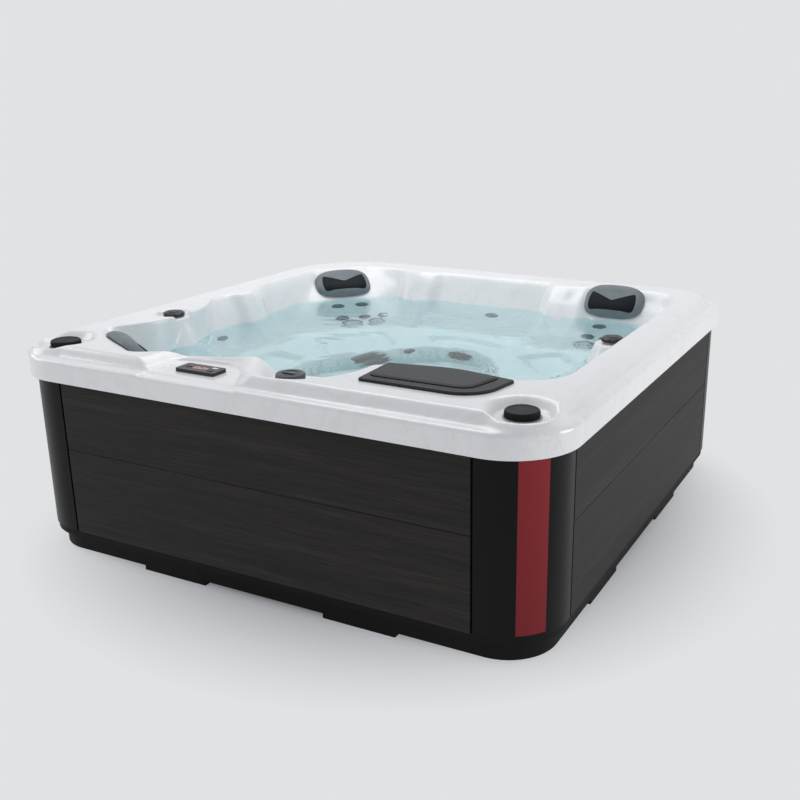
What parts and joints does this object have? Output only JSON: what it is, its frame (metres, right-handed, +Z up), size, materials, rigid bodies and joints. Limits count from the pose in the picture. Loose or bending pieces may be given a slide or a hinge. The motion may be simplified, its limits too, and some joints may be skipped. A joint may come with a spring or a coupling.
{
  "type": "hot tub",
  "caption": "Square hot tub: moulded seat shell with headrests, jets, filter, touchpad and pop-up speakers in a dark plank cabinet on a base pan with its pump and heater.",
  "frame": {"origin": "centre of the footprint, on the floor", "axes": "+X to the right along the front, where the touchpad is; +Y towards the back; +Z up"},
  "size_m": [2.2, 2.2, 0.856],
  "materials": {
    "acrylic": "polished marbled light grey acrylic",
    "pan_plastic": "vacuum-formed black plastic",
    "post_plastic": "satin near-black moulded plastic",
    "plank": "dark composite planks with an embossed wood grain",
    "frame_wood": "planed treated softwood",
    "strip_red": "deep red translucent diffuser",
    "pillow_foam": "soft grey-blue moulded foam",
    "pillow_insert": "navy soft-touch rubber",
    "filter_dark": "satin dark grey moulded plastic",
    "housing_plastic": "light grey moulded plastic",
    "filter_media": "pleated white polyester between blue-grey caps",
    "flap_plastic": "dark grey plastic",
    "panel_black": "dark brown-black glossy plastic",
    "display_pink": "lit pinkish-red display window",
    "button_rubber": "soft dark keys",
    "knob_slate": "satin slate plastic",
    "valve_plastic": "off-white valve plastic",
    "speaker_black": "ribbed black plastic with a slotted grille",
    "cup_grey": "grey sealed cup",
    "jet_grey": "glossy grey jet faces",
    "rotor_white": "pale spinning jet inserts",
    "suction_grey": "grey slotted covers",
    "light_lens": "clear lens",
    "motor_steel": "dark blue-grey painted motor shell",
    "pump_black": "black glass-filled plastic",
    "heater_steel": "brushed stainless tube",
    "control_steel": "grey painted steel box",
    "pvc_white": "white PVC pipe",
    "spigot_brass": "plain brass"
  },
  "bodies": {
    "tub": {"shell": "acrylic", "base_pan": "pan_plastic", "corner_post_front_right": "post_plastic", "corner_post_rear_right": "post_plastic", "corner_post_rear_left": "post_plastic", "corner_post_front_left": "post_plastic", "light_strip": "strip_red", "cabinet_frame": "frame_wood", "plank_front_lower": "plank", "plank_front_upper": "plank", "plank_right_lower": "plank", "plank_right_upper": "plank", "plank_rear_lower": "plank", "plank_rear_upper": "plank", "plank_left_lower": "plank", "plank_left_upper": "plank", "pillow_back_left": "pillow_foam", "pillow_insert_back_left": "pillow_insert", "pillow_back_right": "pillow_foam", "pillow_insert_back_right": "pillow_insert", "pillow_front_left": "pillow_foam", "pillow_insert_front_left": "pillow_insert", "filter_surround": "filter_dark", "filter_housing": "housing_plastic", "filter_cartridge": "filter_media", "touchpad_housing": "panel_black", "touchpad_display": "display_pink", "valve_bodies": "valve_plastic", "speaker_cups": "cup_grey", "jets_back_left": "jet_grey", "jets_back_right": "jet_grey", "jets_sides": "jet_grey", "rotary_housings": "jet_grey", "suction_covers": "suction_grey", "riser_return_fitting": "suction_grey", "waterline_lights": "light_lens", "jet_pump_motor": "motor_steel", "jet_pump_volute": "pump_black", "circulation_pump": "pump_black", "heater": "heater_steel", "jet_manifolds": "pvc_white", "plumbing": "pvc_white", "control_box": "control_steel", "drain_spigot": "spigot_brass"},
    "lid": {"filter_lid": "filter_dark"},
    "left_speaker": {"speaker_left": "speaker_black"},
    "right_speaker": {"speaker_right": "speaker_black"},
    "diverter": {"diverter_knob": "knob_slate"},
    "left_air_knob": {"air_knob_left": "knob_slate"},
    "right_air_knob": {"air_knob_right": "knob_slate"},
    "jets_button": {"button_jets": "button_rubber"},
    "light_button": {"button_light": "button_rubber"},
    "temperature_button": {"button_temperature": "button_rubber"},
    "rotor_1": {"rotary_jet_1": "rotor_white"},
    "rotor_2": {"rotary_jet_2": "rotor_white"},
    "rotor_3": {"rotary_jet_3": "rotor_white"},
    "rotor_4": {"rotary_jet_4": "rotor_white"},
    "weir": {"weir_flap": "flap_plastic"},
    "impeller": {"jet_pump_impeller": "pump_black"}
  },
  "joints": [
    {"name": "filter_lid_lift", "type": "slide", "parent": "tub", "child": "lid", "axis": [0, 0, 1], "range_m": [0, 0.15]},
    {"name": "left_speaker_rise", "type": "slide", "parent": "tub", "child": "left_speaker", "axis": [0, 0, 1], "range_m": [0, 0.07]},
    {"name": "right_speaker_rise", "type": "slide", "parent": "tub", "child": "right_speaker", "axis": [0, 0, 1], "range_m": [0, 0.07]},
    {"name": "diverter_turn", "type": "hinge", "parent": "tub", "child": "diverter", "pos_m": [0.0352, -0.8547, 0.7653], "axis": [0, 0, 1], "range_deg": [-75, 75]},
    {"name": "left_air_turn", "type": "hinge", "parent": "tub", "child": "left_air_knob", "pos_m": [-0.8635, -0.4246, 0.8115], "axis": [0, 0, 1], "range_deg": [0, 180]},
    {"name": "right_air_turn", "type": "hinge", "parent": "tub", "child": "right_air_knob", "pos_m": [0.8613, 0.1232, 0.7752], "axis": [0, 0, 1], "range_deg": [0, 180]},
    {"name": "jets_button_press", "type": "slide", "parent": "tub", "child": "jets_button", "axis": [0, 0, -1], "range_m": [0, 0.0008], "stiffness_N_per_m": 1500, "springref_m": -0.0004},
    {"name": "light_button_press", "type": "slide", "parent": "tub", "child": "light_button", "axis": [0, 0, -1], "range_m": [0, 0.0008], "stiffness_N_per_m": 1500, "springref_m": -0.0004},
    {"name": "temperature_button_press", "type": "slide", "parent": "tub", "child": "temperature_button", "axis": [0, 0, -1], "range_m": [0, 0.0008], "stiffness_N_per_m": 1500, "springref_m": -0.0004},
    {"name": "rotor_1_spin", "type": "hinge", "parent": "tub", "child": "rotor_1", "pos_m": [-0.48812, 0.57532, 0.385], "axis": [0.6332, -0.5729, 0.5204], "continuous": true},
    {"name": "rotor_2_spin", "type": "hinge", "parent": "tub", "child": "rotor_2", "pos_m": [-0.57381, 0.48061, 0.385], "axis": [0.6332, -0.5729, 0.5204], "continuous": true},
    {"name": "rotor_3_spin", "type": "hinge", "parent": "tub", "child": "rotor_3", "pos_m": [0.70125, 0.60898, 0.3905], "axis": [0, -0.8871, 0.4615], "continuous": true},
    {"name": "rotor_4_spin", "type": "hinge", "parent": "tub", "child": "rotor_4", "pos_m": [0.57343, 0.60898, 0.3905], "axis": [0, -0.8871, 0.4615], "continuous": true},
    {"name": "weir_swing", "type": "hinge", "parent": "tub", "child": "weir", "pos_m": [0.5654, -0.7072, 0.66], "axis": [1, 0, 0], "range_deg": [0, 60], "stiffness_Nm_per_rad": 0.06, "springref_deg": -5.73},
    {"name": "impeller_spin", "type": "hinge", "parent": "tub", "child": "impeller", "pos_m": [-0.2497, -0.88, 0.138], "axis": [1, 0, 0], "continuous": true}
  ]
}
